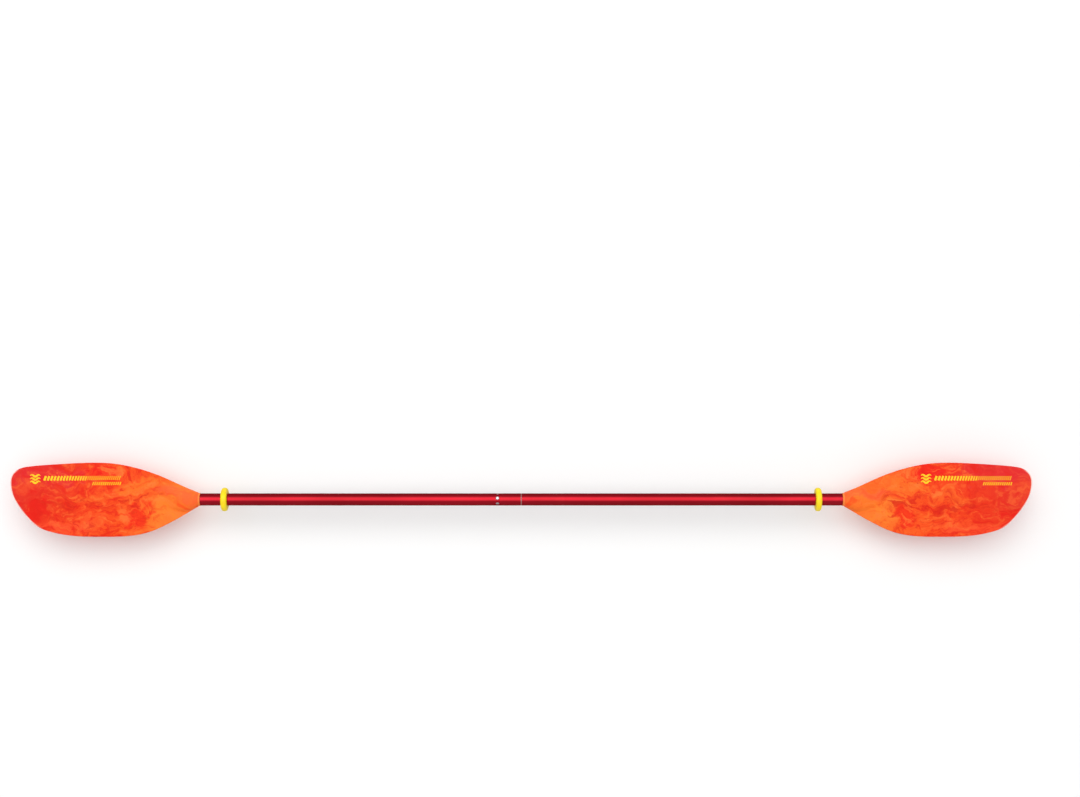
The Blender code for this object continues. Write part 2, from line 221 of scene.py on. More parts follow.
def radial_place(x: float, angle: float) -> Matrix:
    """Turns the X axis of a turned piece so that it stands out of the shaft.

    Args:
        x: Place along the shaft.
        angle: Degrees from the power face's direction toward the long edge.

    Returns:
        The matrix that carries +X to the outward direction.
    """
    turn = math.radians(angle)
    out = Vector((0, math.sin(turn), math.cos(turn)))
    along = Vector((-1, 0, 0))
    turned = Matrix((out, along, out.cross(along))).transposed().to_4x4()
    return Matrix.Translation((x, 0, 0)) @ turned


def bore(obj: bpy.types.Object, x: float, angle: float, radius: float, reach: Point2) -> None:
    """Bores a round hole through one wall of a piece.

    Args:
        obj: The piece to bore.
        x: Place along the shaft.
        angle: Degrees from the power face's direction toward the long edge.
        radius: Radius of the hole.
        reach: Inner and outer radius between which the cutter works.
    """
    low, high = reach
    cutter = spin_profile(
        [(low, 0.0), (low, radius), (high, radius), (high, 0.0)], steps=40, closed=False,
        name="cutter", place=radial_place(x, angle),
    )
    take(obj)
    cut = obj.modifiers.new("hole", "BOOLEAN")
    cut.operation = "DIFFERENCE"
    cut.solver = "EXACT"
    cut.object = cutter
    bpy.ops.object.modifier_apply(modifier=cut.name)
    bpy.data.objects.remove(cutter, do_unlink=True)


def soften(obj: bpy.types.Object, width: float, angle: float = 50.0) -> None:
    """Rounds a piece's sharp edges a little and shades it again.

    Args:
        obj: The piece.
        width: Width of the rounding.
        angle: Edges sharper than this, in degrees, are rounded.
    """
    take(obj)
    ease = obj.modifiers.new("ease", "BEVEL")
    ease.width = width
    ease.segments = 2
    ease.limit_method = "ANGLE"
    ease.angle_limit = math.radians(angle)
    ease.use_clamp_overlap = True
    bpy.ops.object.modifier_apply(modifier=ease.name)
    bpy.ops.object.shade_smooth_by_angle(angle=math.radians(40))
    even = obj.modifiers.new("even", "WEIGHTED_NORMAL")
    even.keep_sharp = True
    bpy.ops.object.modifier_apply(modifier=even.name)


def arc(centre: Point2, radius: float, start: float, end: float, count: int) -> list[Point2]:
    """Points along an arc, both ends included.

    Args:
        centre: Middle of the arc.
        radius: Its radius.
        start: First angle in degrees.
        end: Last angle in degrees.
        count: Number of points.

    Returns:
        The points.
    """
    points = []
    for i in range(count):
        turn = math.radians(start + (end - start) * i / (count - 1))
        points.append((centre[0] + radius * math.cos(turn), centre[1] + radius * math.sin(turn)))
    return points


# ---------------------------------------------------------------- shader helpers


@dataclass
class Graph:
    """A node tree that is being wired."""

    tree: bpy.types.NodeTree

    def add(self, kind: str, inputs: Optional[dict] = None, **settings: object) -> bpy.types.Node:
        """Adds a node.

        Args:
            kind: The node's type, without the "ShaderNode" in front.
            inputs: Value or output socket for each input, by name or number.
            settings: Properties of the node.

        Returns:
            The new node.
        """
        node = self.tree.nodes.new("ShaderNode" + kind)
        for key, value in settings.items():
            setattr(node, key, value)
        for key, value in (inputs or {}).items():
            if isinstance(value, bpy.types.NodeSocket):
                self.link(value, node.inputs[key])
            else:
                node.inputs[key].default_value = value
        return node

    def link(self, source: bpy.types.NodeSocket, target: bpy.types.NodeSocket) -> None:
        """Joins an output to an input."""
        self.tree.links.new(source, target)

    def math(self, operation: str, *values: object, clamp: bool = False) -> bpy.types.NodeSocket:
        """Adds a Math node and returns its value."""
        node = self.add("Math", dict(enumerate(values)), operation=operation, use_clamp=clamp)
        return node.outputs[0]

    def vector(self, operation: str, *values: object) -> bpy.types.NodeSocket:
        """Adds a Vector Math node and returns its vector, or its value if it makes a number."""
        node = self.add("VectorMath", dict(enumerate(values)), operation=operation)
        return node.outputs["Value" if operation in ("DOT_PRODUCT", "LENGTH") else "Vector"]

    def noise(self, at: object, scale: float, detail: float = 3.0, rough: float = 0.5,
              twist: float = 0.0, output: str = "Fac") -> bpy.types.NodeSocket:
        """Adds a Noise node read at a vector and returns its value, or another output."""
        given = {"Vector": at, "Scale": scale, "Detail": detail, "Roughness": rough,
                 "Distortion": twist}
        return self.add("TexNoise", given).outputs[output]

    def rise(self, value: object, low: float, high: float, top: float = 1.0,
             bottom: float = 0.0) -> bpy.types.NodeSocket:
        """Adds a smooth Map Range from bottom at low to top at high, and returns its result."""
        given = {"Value": value, "From Min": low, "From Max": high, "To Min": bottom, "To Max": top}
        return self.add("MapRange", given, interpolation_type="SMOOTHSTEP").outputs["Result"]

    def mix(self, share: object, first: object, second: object,
            blend: str = "MIX") -> bpy.types.NodeSocket:
        """Adds a colour Mix node and returns its colour."""
        given = {0: share, 6: first, 7: second}
        return self.add("Mix", given, data_type="RGBA", blend_type=blend).outputs[2]

    def ramp(self, value: object, stops: Iterable[tuple[float, tuple]]) -> bpy.types.NodeSocket:
        """Adds a colour ramp with the given stops and returns its colour."""
        node = self.add("ValToRGB", {"Fac": value})
        marks = node.color_ramp.elements
        wanted = list(stops)
        while len(marks) < len(wanted):
            marks.new(0.5)
        for mark, (place, colour) in zip(marks, wanted):
            mark.position = place
            mark.color = colour
        return node.outputs["Color"]

    def place(self, shift: Sequence[float] = (0, 0, 0),
              scale: Sequence[float] = (1, 1, 1)) -> bpy.types.NodeSocket:
        """Adds Object coordinates through a Mapping node and returns the vector."""
        source = self.add("TexCoord").outputs["Object"]
        given = {"Vector": source, "Location": shift, "Scale": scale}
        return self.add("Mapping", given).outputs["Vector"]


def colour(code: str) -> tuple[float, float, float, float]:
    """Turns a display colour such as ff8030 into the linear colour of a shader.

    Args:
        code: Six hexadecimal digits.

    Returns:
        Red, green, blue and 1.
    """
    parts = [int(code[i:i + 2], 16) / 255 for i in (0, 2, 4)]
    linear = [p / 12.92 if p <= 0.04045 else ((p + 0.055) / 1.055) ** 2.4 for p in parts]
    return (*linear, 1.0)


def new_group(name: str, inputs: Sequence[tuple[str, str, object]],
              outputs: Sequence[tuple[str, str]]) -> tuple[Graph, bpy.types.Node, bpy.types.Node]:
    """Starts a shader node group.

    Args:
        name: The group's name.
        inputs: Name, kind of socket and default of each input.
        outputs: Name and kind of each output.

    Returns:
        The group's graph, its input node and its output node.
    """
    tree = bpy.data.node_groups.new(name, "ShaderNodeTree")
    for label, kind, default in inputs:
        socket = tree.interface.new_socket(label, in_out="INPUT", socket_type=kind)
        if default is not None:
            socket.default_value = default
    for label, kind in outputs:
        tree.interface.new_socket(label, in_out="OUTPUT", socket_type=kind)
    return Graph(tree), tree.nodes.new("NodeGroupInput"), tree.nodes.new("NodeGroupOutput")


class Effects:
    """Shader groups that more than one finish uses, each built once."""

    def __init__(self) -> None:
        """Builds the groups."""
        self.grain = self._grain()
        self.handling = self._handling()

    def _grain(self) -> bpy.types.NodeTree:
        """Fine relief and the change of roughness that goes with it."""
        graph, given, made = new_group(
            "surface_grain",
            [("Coordinates", "NodeSocketVector", None), ("Scale", "NodeSocketFloat", 1000.0)],
            [("Relief", "NodeSocketFloat"), ("Sheen break", "NodeSocketFloat")],
        )
        at = given.outputs["Coordinates"]
        fine = graph.add("TexNoise", {"Vector": at, "Scale": given.outputs["Scale"], "Detail": 2.0})
        coarse_scale = graph.math("MULTIPLY", given.outputs["Scale"], 0.06)
        coarse = graph.add("TexNoise", {"Vector": at, "Scale": coarse_scale, "Detail": 3.0})
        relief = graph.math("MULTIPLY_ADD", coarse.outputs["Fac"], 0.6, fine.outputs["Fac"])
        graph.link(relief, made.inputs["Relief"])
        graph.link(graph.rise(coarse.outputs["Fac"], 0.3, 0.7), made.inputs["Sheen break"])
        return graph.tree

    def _handling(self) -> bpy.types.NodeTree:
        """Mask of faint rubs and fingermarks from hands and gear."""
        graph, given, made = new_group(
            "handling_marks",
            [("Coordinates", "NodeSocketVector", None), ("Amount", "NodeSocketFloat", 0.5)],
            [("Marks", "NodeSocketFloat")],
        )
        at = given.outputs["Coordinates"]
        broad = graph.noise(at, 18.0, 4.0, 0.6)
        long_way = graph.vector("MULTIPLY", at, (60.0, 900.0, 900.0))
        lines = graph.noise(long_way, 1.0, 2.0, 0.7)
        rubbed = graph.rise(broad, 0.5, 0.72)
        scored = graph.rise(lines, 0.62, 0.7)
        both = graph.math("MULTIPLY", rubbed, graph.math("MULTIPLY_ADD", scored, 0.7, 0.3))
        result = graph.math("MULTIPLY", both, given.outputs["Amount"], clamp=True)
        graph.link(result, made.inputs["Marks"])
        return graph.tree

    def marks(self, graph: Graph, place: bpy.types.NodeSocket,
              amount: float) -> bpy.types.NodeSocket:
        """Places the handling marks in a material.

        Args:
            graph: The material's graph.
            place: Coordinates at which they are read.
            amount: How strong they are.

        Returns:
            The mask.
        """
        group = graph.add("Group", node_tree=self.handling)
        group.inputs["Amount"].default_value = amount
        graph.link(place, group.inputs["Coordinates"])
        return group.outputs["Marks"]


@dataclass(frozen=True)
class Finish:
    """What every finish has: its name, its slot and its fine relief."""

    name: str
    slot: str
    grain: Grain = Grain.MOULDED
    roughness: float = 0.4
    specular: float = 0.5

    def material(self, effects: Effects) -> bpy.types.Material:
        """Makes the material.

        Args:
            effects: The shared shader groups.

        Returns:
            The finished material.
        """
        made = bpy.data.materials.new(self.name)
        made.use_nodes = True
        graph = Graph(made.node_tree)
        shader = made.node_tree.nodes["Principled BSDF"]
        shader.inputs["Specular IOR Level"].default_value = self.specular
        self.paint(graph, shader, effects)
        self.relief(graph, shader, effects)
        return made

    def paint(self, graph: Graph, shader: bpy.types.Node, effects: Effects) -> None:
        """Wires the colour; each finish has its own."""
        raise NotImplementedError

    def relief(self, graph: Graph, shader: bpy.types.Node, effects: Effects) -> None:
        """Wires the fine relief and the roughness that follows it.

        Args:
            graph: The material's graph.
            shader: Its Principled shader.
            effects: The shared shader groups.
        """
        scale, height = self.grain.value
        group = graph.add("Group", node_tree=effects.grain)
        group.inputs["Scale"].default_value = scale
        graph.link(self.grain_place(graph), group.inputs["Coordinates"])
        bump = graph.add("Bump", {"Strength": 0.6, "Distance": height,
                                  "Height": group.outputs["Relief"]})
        graph.link(bump.outputs["Normal"], shader.inputs["Normal"])
        change = graph.math("MULTIPLY_ADD", group.outputs["Sheen break"], 0.08,
                            self.roughness - 0.04)
        graph.link(change, shader.inputs["Roughness"])

    def grain_place(self, graph: Graph) -> bpy.types.NodeSocket:
        """Coordinates that the fine relief is read at."""
        return graph.place()


@dataclass(frozen=True)
class Cloud:
    """A patch of another colour in the marbled plastic, in metres from the neck and the axis."""

    tone: str
    along: float
    across: float
    reach_along: float
    reach_across: float
    strength: float = 0.8


@dataclass(frozen=True)
class MarbledPlastic(Finish):
    """Moulded blade plastic: orange at the neck, crimson at the tip, with swirled veins."""

    tube_end: float = TUBE_END
    length: float = 0.4435
    seed: float = 0.0
    clouds: tuple[Cloud, ...] = (
        Cloud("ff6434", 0.060, 0.018, 0.075, 0.016, 0.75),
        Cloud("ff4c18", 0.030, -0.006, 0.028, 0.008, 0.7),
        Cloud("ff8228", 0.115, -0.030, 0.065, 0.036, 0.8),
        Cloud("ff7a22", 0.150, 0.034, 0.060, 0.024, 0.65),
        Cloud("ee1608", 0.215, 0.068, 0.050, 0.022, 0.9),
        Cloud("f01808", 0.150, -0.037, 0.030, 0.034, 0.85),
        Cloud("f8661e", 0.250, 0.014, 0.055, 0.016, 0.6),
        Cloud("fb5c24", 0.262, -0.058, 0.060, 0.022, 0.55),
        Cloud("e0242c", 0.360, 0.060, 0.105, 0.032, 0.7),
        Cloud("ee4c24", 0.412, 0.026, 0.030, 0.018, 0.65),
        Cloud("e6180a", 0.380, -0.026, 0.050, 0.024, 0.85),
        Cloud("fa4e28", 0.335, -0.074, 0.085, 0.020, 0.65),
    )

    def paint(self, graph: Graph, shader: bpy.types.Node, effects: Effects) -> None:
        """Wires the marbled colour.

        Args:
            graph: The material's graph.
            shader: Its Principled shader.
            effects: The shared shader groups; not used here.
        """
        place = graph.place()
        split = graph.add("SeparateXYZ", {"Vector": place})
        along = graph.math("SUBTRACT", graph.math("ABSOLUTE", split.outputs["X"]), self.tube_end)
        flat = graph.add("CombineXYZ", {"X": along, "Y": split.outputs["Y"]}).outputs[0]
        swirl = self.swirl(graph, place)
        spot = graph.vector("ADD", flat, swirl)
        moved = graph.vector("ADD", graph.vector("ADD", place, swirl), (self.seed, 0.4, 0.2))
        tone = self.ground(graph, spot)
        tone = self.add_clouds(graph, spot, moved, tone)
        tone = self.mottle(graph, moved, along, tone)
        tone = self.veins(graph, moved, spot, tone)
        # Painted highlight: a near-white colour (ffe0d6) is painted along the edge at the far end,
        # standing for light caught by the rounded rim.
        lightened = graph.add("Attribute", attribute_name="painted_edge_highlight").outputs["Fac"]
        tone = graph.mix(graph.math("MULTIPLY", lightened, 0.85), tone, colour("ffe0d6"))
        lip = graph.rise(along, 0.0046, 0.0036, top=0.6)
        tone = graph.mix(lip, tone, colour("ff9a4a"))
        graph.link(tone, shader.inputs["Base Color"])

    def swirl(self, graph: Graph, place: bpy.types.NodeSocket) -> bpy.types.NodeSocket:
        """How far the melt was pulled about at each place, in metres."""
        shifted = graph.vector("ADD", place, (self.seed * 3.0, 1.3, 0.7))
        total = None
        for scale, detail, pull in ((13.0, 2.0, 0.11), (60.0, 2.0, 0.024), (220.0, 2.0, 0.005)):
            wave = graph.noise(shifted, scale, detail, 0.55, output="Color")
            centred = graph.vector("SUBTRACT", wave, (0.5, 0.5, 0.5))
            step = graph.vector("MULTIPLY", centred, (pull, pull * 0.8, 0.0))
            total = step if total is None else graph.vector("ADD", total, step)
        return total

    def ground(self, graph: Graph, spot: bpy.types.NodeSocket) -> bpy.types.NodeSocket:
        """The slow change from orange at the neck to red at the tip."""
        split = graph.add("SeparateXYZ", {"Vector": spot})
        share = graph.math("DIVIDE", split.outputs["X"], self.length)
        tilt = graph.math("MULTIPLY_ADD", split.outputs["Y"], 0.9, share)
        return graph.ramp(tilt, [
            (0.0, colour("fb7028")), (0.12, colour("fc7826")), (0.25, colour("f8621c")),
            (0.38, colour("f54e14")), (0.55, colour("f24412")), (0.72, colour("ea3612")),
            (0.86, colour("e32c18")), (1.0, colour("de2c20")),
        ])

    def add_clouds(self, graph: Graph, spot: object, moved: object,
                   tone: object) -> bpy.types.NodeSocket:
        """Lays the patches of other colours, with feathered edges."""
        rag = graph.noise(moved, 48.0, 6.0, 0.66)
        for cloud in self.clouds:
            middle = graph.vector("SUBTRACT", spot, (cloud.along, cloud.across, 0.0))
            even = graph.vector("MULTIPLY", middle, (1 / cloud.reach_along,
                                                     1 / cloud.reach_across, 0.0))
            away = graph.vector("LENGTH", even)
            ragged = graph.math("MULTIPLY_ADD", rag, -2.4, graph.math("ADD", away, 1.2))
            mask = graph.rise(ragged, 1.15, 0.55, top=cloud.strength)
            tone = graph.mix(mask, tone, colour(cloud.tone))
        return tone

    def mottle(self, graph: Graph, moved: object, along: object,
               tone: object) -> bpy.types.NodeSocket:
        """Small feathered flames, lighter and darker than what lies round them."""
        drawn = graph.vector("MULTIPLY", moved, (0.55, 1.0, 1.0))
        share = graph.math("DIVIDE", along, self.length)
        flames = graph.noise(drawn, 58.0, 8.0, 0.7, 0.25)
        dark = graph.math("MULTIPLY", graph.rise(flames, 0.5, 0.64),
                          graph.rise(share, 0.05, 0.4, top=0.8, bottom=0.12))
        tone = graph.mix(dark, tone, colour("e21806"))
        light = graph.math("MULTIPLY", graph.rise(flames, 0.5, 0.36),
                           graph.rise(share, 0.95, 0.4, top=0.7, bottom=0.25))
        tone = graph.mix(light, tone, colour("ff7c34"))
        small = graph.noise(drawn, 170.0, 5.0, 0.7)
        fine = graph.math("MULTIPLY", graph.rise(small, 0.52, 0.68),
                          graph.rise(share, 0.1, 0.35, top=0.4, bottom=0.15))
        return graph.mix(fine, tone, colour("e22a0a"))

    def veins(self, graph: Graph, moved: object, spot: object,
              tone: object) -> bpy.types.NodeSocket:
        """Short dark red wisps: along the ridge, and aslant over the rest of the face."""
        split = graph.add("SeparateXYZ", {"Vector": spot})
        along, across = split.outputs["X"], split.outputs["Y"]
        reach = graph.math("MULTIPLY", graph.rise(along, 0.07, 0.12),
                           graph.rise(along, 0.42, 0.27, bottom=0.3))
        ridge = graph.rise(graph.math("ABSOLUTE", graph.math("ADD", across, 0.005)), 0.026, 0.006)
        lines = graph.noise(graph.vector("MULTIPLY", moved, (0.24, 1.0, 1.0)), 85.0, 4.0, 0.6)
        drawn = graph.math("MULTIPLY", graph.rise(lines, 0.48, 0.62),
                           graph.math("MULTIPLY", ridge, reach))
        turned = graph.add("Mapping", {"Vector": moved, "Rotation": (0, 0, -0.75)}).outputs[0]
        slants = graph.noise(graph.vector("MULTIPLY", turned, (0.42, 1.1, 1.0)), 75.0, 5.0, 0.66)
        cluster = graph.noise(graph.vector("ADD", moved, (1.9, 9.4, 3.3)), 26.0, 3.0, 0.55)
        loose = graph.math("MULTIPLY", graph.rise(slants, 0.53, 0.66),
                           graph.math("MULTIPLY", reach, graph.rise(cluster, 0.42, 0.58)))
        mask = graph.math("MAXIMUM", drawn, graph.math("MULTIPLY", loose, 0.8))
        tone = graph.mix(graph.math("MULTIPLY", mask, 0.76), tone, colour("d21806"))
        dots = graph.noise(graph.vector("ADD", moved, (2.2, 8.8, 5.1)), 210.0, 2.0, 0.5)
        specks = graph.math("MULTIPLY", graph.rise(dots, 0.66, 0.73), reach)
        return graph.mix(graph.math("MULTIPLY", specks, 0.6), tone, colour("cc2408"))


@dataclass(frozen=True)
class Anodised(Finish):
    """Drawn aluminium tube with a dyed anodic film."""

    dye: str = "ba1527"
    film: str = "a81220"
    rubbed: str = "c83a3c"
    grain: Grain = Grain.DRAWN

    def paint(self, graph: Graph, shader: bpy.types.Node, effects: Effects) -> None:
        """Wires the dyed metal.

        Args:
            graph: The material's graph.
            shader: Its Principled shader.
            effects: The shared shader groups.
        """
        place = graph.place()
        marks = effects.marks(graph, place, 0.25)
        cloud = graph.noise(graph.vector("MULTIPLY", place, (6.0, 40.0, 40.0)), 1.0, 3.0)
        tone = graph.mix(graph.rise(cloud, 0.3, 0.7), colour(self.dye), colour(self.film))
        lightened = graph.mix(marks, tone, colour(self.rubbed))
        graph.link(lightened, shader.inputs["Base Color"])
        shader.inputs["Metallic"].default_value = 1.0
        shader.inputs["Specular Tint"].default_value = (0.42, 0.17, 0.18, 1.0)
        shader.inputs["Coat Weight"].default_value = 0.2
        shader.inputs["Coat Roughness"].default_value = 0.15
        shader.inputs["Coat IOR"].default_value = 1.45

    def grain_place(self, graph: Graph) -> bpy.types.NodeSocket:
        """Drawing lines run along the tube."""
        return graph.place(scale=(0.02, 1.0, 1.0))


@dataclass(frozen=True)
class PlainMetal(Finish):
    """Bare metal with faint lines and a little tarnish."""

    tone: str = "c8c8ca"
    tarnish: str = "8f8f90"
    grain: Grain = Grain.DRAWN

    def paint(self, graph: Graph, shader: bpy.types.Node, effects: Effects) -> None:
        """Wires the metal.

        Args:
            graph: The material's graph.
            shader: Its Principled shader.
            effects: The shared shader groups.
        """
        place = graph.place()
        marks = effects.marks(graph, place, 0.8)
        film = graph.noise(place, 220.0, 4.0, 0.6)
        dull = graph.math("MULTIPLY", graph.rise(film, 0.45, 0.75), 0.22)
        both = graph.math("MAXIMUM", dull, marks)
        tone = graph.mix(both, colour(self.tone), colour(self.tarnish))
        graph.link(tone, shader.inputs["Base Color"])
        shader.inputs["Metallic"].default_value = 1.0


@dataclass(frozen=True)
class Moulded(Finish):
    """Soft moulded rubber or foam in one colour, clouded and slightly dusty."""

    tone: str = "ffe000"
    shade: str = "efc400"
    dust: str = "f4e27a"
    dusty: float = 0.15

    def paint(self, graph: Graph, shader: bpy.types.Node, effects: Effects) -> None:
        """Wires the moulded colour.

        Args:
            graph: The material's graph.
            shader: Its Principled shader.
            effects: The shared shader groups.
        """
        place = graph.place()
        cloud = graph.noise(place, 90.0, 4.0, 0.55)
        mixed = graph.mix(graph.rise(cloud, 0.35, 0.75), colour(self.tone), colour(self.shade))
        marks = effects.marks(graph, place, self.dusty)
        graph.link(graph.mix(marks, mixed, colour(self.dust)), shader.inputs["Base Color"])


# ---------------------------------------------------------------- sub-assemblies


@dataclass
class Piece:
    """A finished piece, its body (empty when the piece rides on no single body) and the solids it
    stands for.
    """

    obj: bpy.types.Object
    body: str
    slot: str
    stands_for: tuple[str, ...] = ()

    def settle(self, material: bpy.types.Material) -> None:
        """Gives the piece its material and its place in the frame.

        Args:
            material: The finish that it wears.
        """
        self.obj.data.materials.clear()
        self.obj.data.materials.append(material)
        if self.body:
            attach(self.obj, self.body)
        if self.stands_for:
            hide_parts(*self.stands_for)
        log.info("%s rides on %s, %d faces", self.obj.name, self.body or "two bodies",
                 len(self.obj.data.polygons))


@dataclass(frozen=True)
class Knot:
    """A point that a blade's edge passes through."""

    along: float
    across: float
    heading: float
    before: float
    after: float


@dataclass
class Blade:
    """One moulded blade: an asymmetric spoon with a ridge, a back rib, a neck and a tang."""

    half: Half
    length: float = 443.5 * MM
    width: float = 176 * MM
    rim_half: float = 1.1 * MM
    spine_half: float = 1.9 * MM
    tip_rise: float = 17 * MM
    dihedral_drop: float = 3.0 * MM
    ridge_round: float = 4.0 * MM
    rib_length: float = 330 * MM
    nose_length: float = 120 * MM
    root_length: float = 62 * MM
    tang_length: float = 62 * MM
    tang_bore: float = 50 * MM
    tang_wall: float = 3 * MM
    neck_lip: float = 3.9 * MM
    spans: int = 22
    rib_steps: int = 12
    plate_steps: int = 9
    rim_steps: int = 6
    long_edge: tuple[Knot, ...] = (
        Knot(0.0, 0.174, 14, 0.0, 0.03), Knot(0.162, 0.518, 25, 0.063, 0.094),
        Knot(0.521, 0.983, 1.5, 0.134, 0.1), Knot(0.778, 0.94, -3.4, 0.078, 0.05),
        Knot(0.918, 0.877, -8, 0.045, 0.04), Knot(1.0, 0.477, -90, 0.054, 0.0),
    )
    short_edge: tuple[Knot, ...] = (
        Knot(0.0, -0.174, -20, 0.0, 0.03), Knot(0.135, -0.553, -28, 0.063, 0.13),
        Knot(0.485, -1.0, 0, 0.185, 0.094), Knot(0.761, -0.9, 13.5, 0.09, 0.05),
        Knot(0.895, -0.565, 48, 0.058, 0.058), Knot(1.0, 0.477, 90, 0.09, 0.0),
    )

    def edge(self, knots: Sequence[Knot]) -> list[Vector]:
        """Points (u, v) along one edge, from the neck to the tip.

        Args:
            knots: The points that the edge passes through.

        Returns:
            The points of the edge.
        """
        points: list[Vector] = []
        for first, second in zip(knots, knots[1:]):
            start, end = self.knot_place(first), self.knot_place(second)
            leave = start + self.heading(first) * first.after * self.length
            arrive = end - self.heading(second) * second.before * self.length
            for i in range(self.spans):
                t = i / self.spans
                if second.along == 1.0:
                    t = math.sin(t * math.pi / 2)
                s = 1 - t
                points.append(s**3 * start + 3 * s * s * t * leave
                              + 3 * s * t * t * arrive + t**3 * end)
        points.append(self.knot_place(knots[-1]))
        return points

    def knot_place(self, knot: Knot) -> Vector:
        """Place of a knot in the blade's own plane."""
        if knot.along == 0.0:
            return Vector((0.0, math.copysign(NECK_R, knot.across)))
        return Vector((knot.along * self.length, knot.across * self.width / 2))

    def heading(self, knot: Knot) -> Vector:
        """Direction of the edge at a knot."""
        turn = math.radians(knot.heading)
        return Vector((math.cos(turn), math.sin(turn)))

    def middle_surface(self, u: float, v: float) -> float:
        """Height of the surface midway between the faces: the spoon and the dihedral."""
        share = max(u, 0.0) / self.length
        ridge = (math.hypot(v, self.ridge_round) - self.ridge_round) * 2 / self.width
        fall = self.dihedral_drop * ridge * smooth_step(share, 0.03, 0.35)
        return self.tip_rise * share**2 - fall

    def bulge_width(self, u: float, reach: float) -> float:
        """Half the width of a section's round part."""
        rib = NECK_R * (1 - 0.62 * smooth_step(u, 0.0, self.rib_length))
        return reach + (min(rib, reach) - reach) * smooth_step(u, 0.0, 1.5 * self.root_length)

    def face_height(self, u: float, v: float, reach: float, back: bool) -> float:
        """Distance from the middle surface to a face.

        Args:
            u: Distance from the tube's end.
            v: Distance from the shaft's axis, toward the long edge.
            reach: Distance from the section's middle to the rim on this side.
            back: Whether the face is the back rather than the power face.

        Returns:
            The distance.
        """
        share = min(abs(v) / (self.width / 2), 1.0)
        middle = self.spine_half - (self.spine_half - self.rim_half) * 0.4 * u / self.length
        plate = self.rim_half + (middle - self.rim_half) * (1 - share**2)
        plate *= smooth_step(u, 0.0, self.root_length)
        part = min(abs(v) / self.bulge_width(u, reach), 1.0)
        run = self.rib_length if back else self.nose_length
        rib = NECK_R * (1 - smooth_step(u, 0.0, run)) * math.sqrt(1 - part * part)
        return (plate**3 + rib**3) ** (1 / 3)

    def power_height(self, u: float, v: float) -> float:
        """Height of the power face, away from the neck."""
        return self.middle_surface(u, v) + self.face_height(u, v, self.width / 2, False)

    def half_section(self, rim: Vector, inset: Vector,
                     middle: Vector) -> list[tuple[float, float, float, float]]:
        """Points of a section from its middle to one rim.

        Args:
            rim: Place of the rim.
            inset: Place where the rim's rounding starts.
            middle: Middle of the section.

        Returns:
            For each point u, v, how full the thickness is there, and the side's reach.
        """
        reach = (rim - middle).length
        flat = (inset - middle).length
        bulge = min(self.bulge_width(middle.x, reach) * 1.2, flat * 0.8)
        sharp = smooth_step(middle.x, 0.0, 1.5 * self.root_length)
        steps = self.rib_steps + self.plate_steps + self.rim_steps
        points = []
        for i in range(steps + 1):
            turn = math.pi / 2 * i / steps
            full = 1.0
            if i <= self.rib_steps:
                plate_place = middle.lerp(inset, bulge * i / self.rib_steps / flat)
            elif i <= self.rib_steps + self.plate_steps:
                part = 1 - (1 - (i - self.rib_steps) / self.plate_steps) ** 1.5
                plate_place = middle.lerp(inset, (bulge + (flat - bulge) * part) / flat)
            else:
                part = (i - self.rib_steps - self.plate_steps) / self.rim_steps * math.pi / 2
                plate_place, full = inset.lerp(rim, math.sin(part)), math.cos(part)
            place = middle.lerp(rim, math.sin(turn)).lerp(plate_place, sharp)
            fullness = 0.0 if i == steps else 1.0 + (full - 1.0) * sharp
            points.append((place.x, place.y, fullness, reach))
        return points

    def stations(self) -> list[list[Vector]]:
        """Loops of points round the blade, from the tang's bore to the tip.

        Returns:
            The loops, each with the same number of points and in the same order.
        """
        loops = [self.section_loop(k) for k in range(self.spans * (len(self.long_edge) - 1))]
        tip = self.knot_place(self.long_edge[-1])
        loops.append([Vector((tip.x, tip.y, self.middle_surface(tip.x, tip.y)))] * len(loops[0]))
        swept = [loop for loop in loops if min(p.x for p in loop) > self.neck_lip]
        return self.neck_loops(loops[0]) + swept

    def section_loop(self, k: int) -> list[Vector]:
        """Points round the blade at one station."""
        upper_edge, lower_edge = self._edges()
        last = len(upper_edge) - 1
        upper, lower = upper_edge[k], lower_edge[k]
        along = (upper.x + lower.x) / 2
        drift = smooth_step(k / last, 0.55, 1.0)
        middle = Vector((along, upper_edge[-1].y * drift))
        sides = []
        for rim, points, way in ((upper, upper_edge, 1), (lower, lower_edge, -1)):
            run = (points[min(k + 1, last)] - points[max(k - 1, 0)]).normalized()
            square = Vector((run.y, -run.x)) * way
            depth = min(self.rim_half, (rim - middle).length / 2)
            sides.append(self.half_section(rim, rim + square * depth, middle))
        ring = list(reversed(sides[0])) + sides[1][1:]
        front = [self.lift(*point, back=False) for point in ring]
        rear = [self.lift(*point, back=True) for point in ring]
        return front + list(reversed(rear[1:-1]))

    def _edges(self) -> tuple[list[Vector], list[Vector]]:
        """Both edges, worked out once."""
        if not hasattr(self, "_kept"):
            self._kept = (self.edge(self.long_edge), self.edge(self.short_edge))
        return self._kept

    def lift(self, u: float, v: float, full: float, reach: float, back: bool) -> Vector:
        """A point of one face of the blade."""
        away = full * self.face_height(u, v, reach, back)
        return Vector((u, v, self.middle_surface(u, v) + (-away if back else away)))

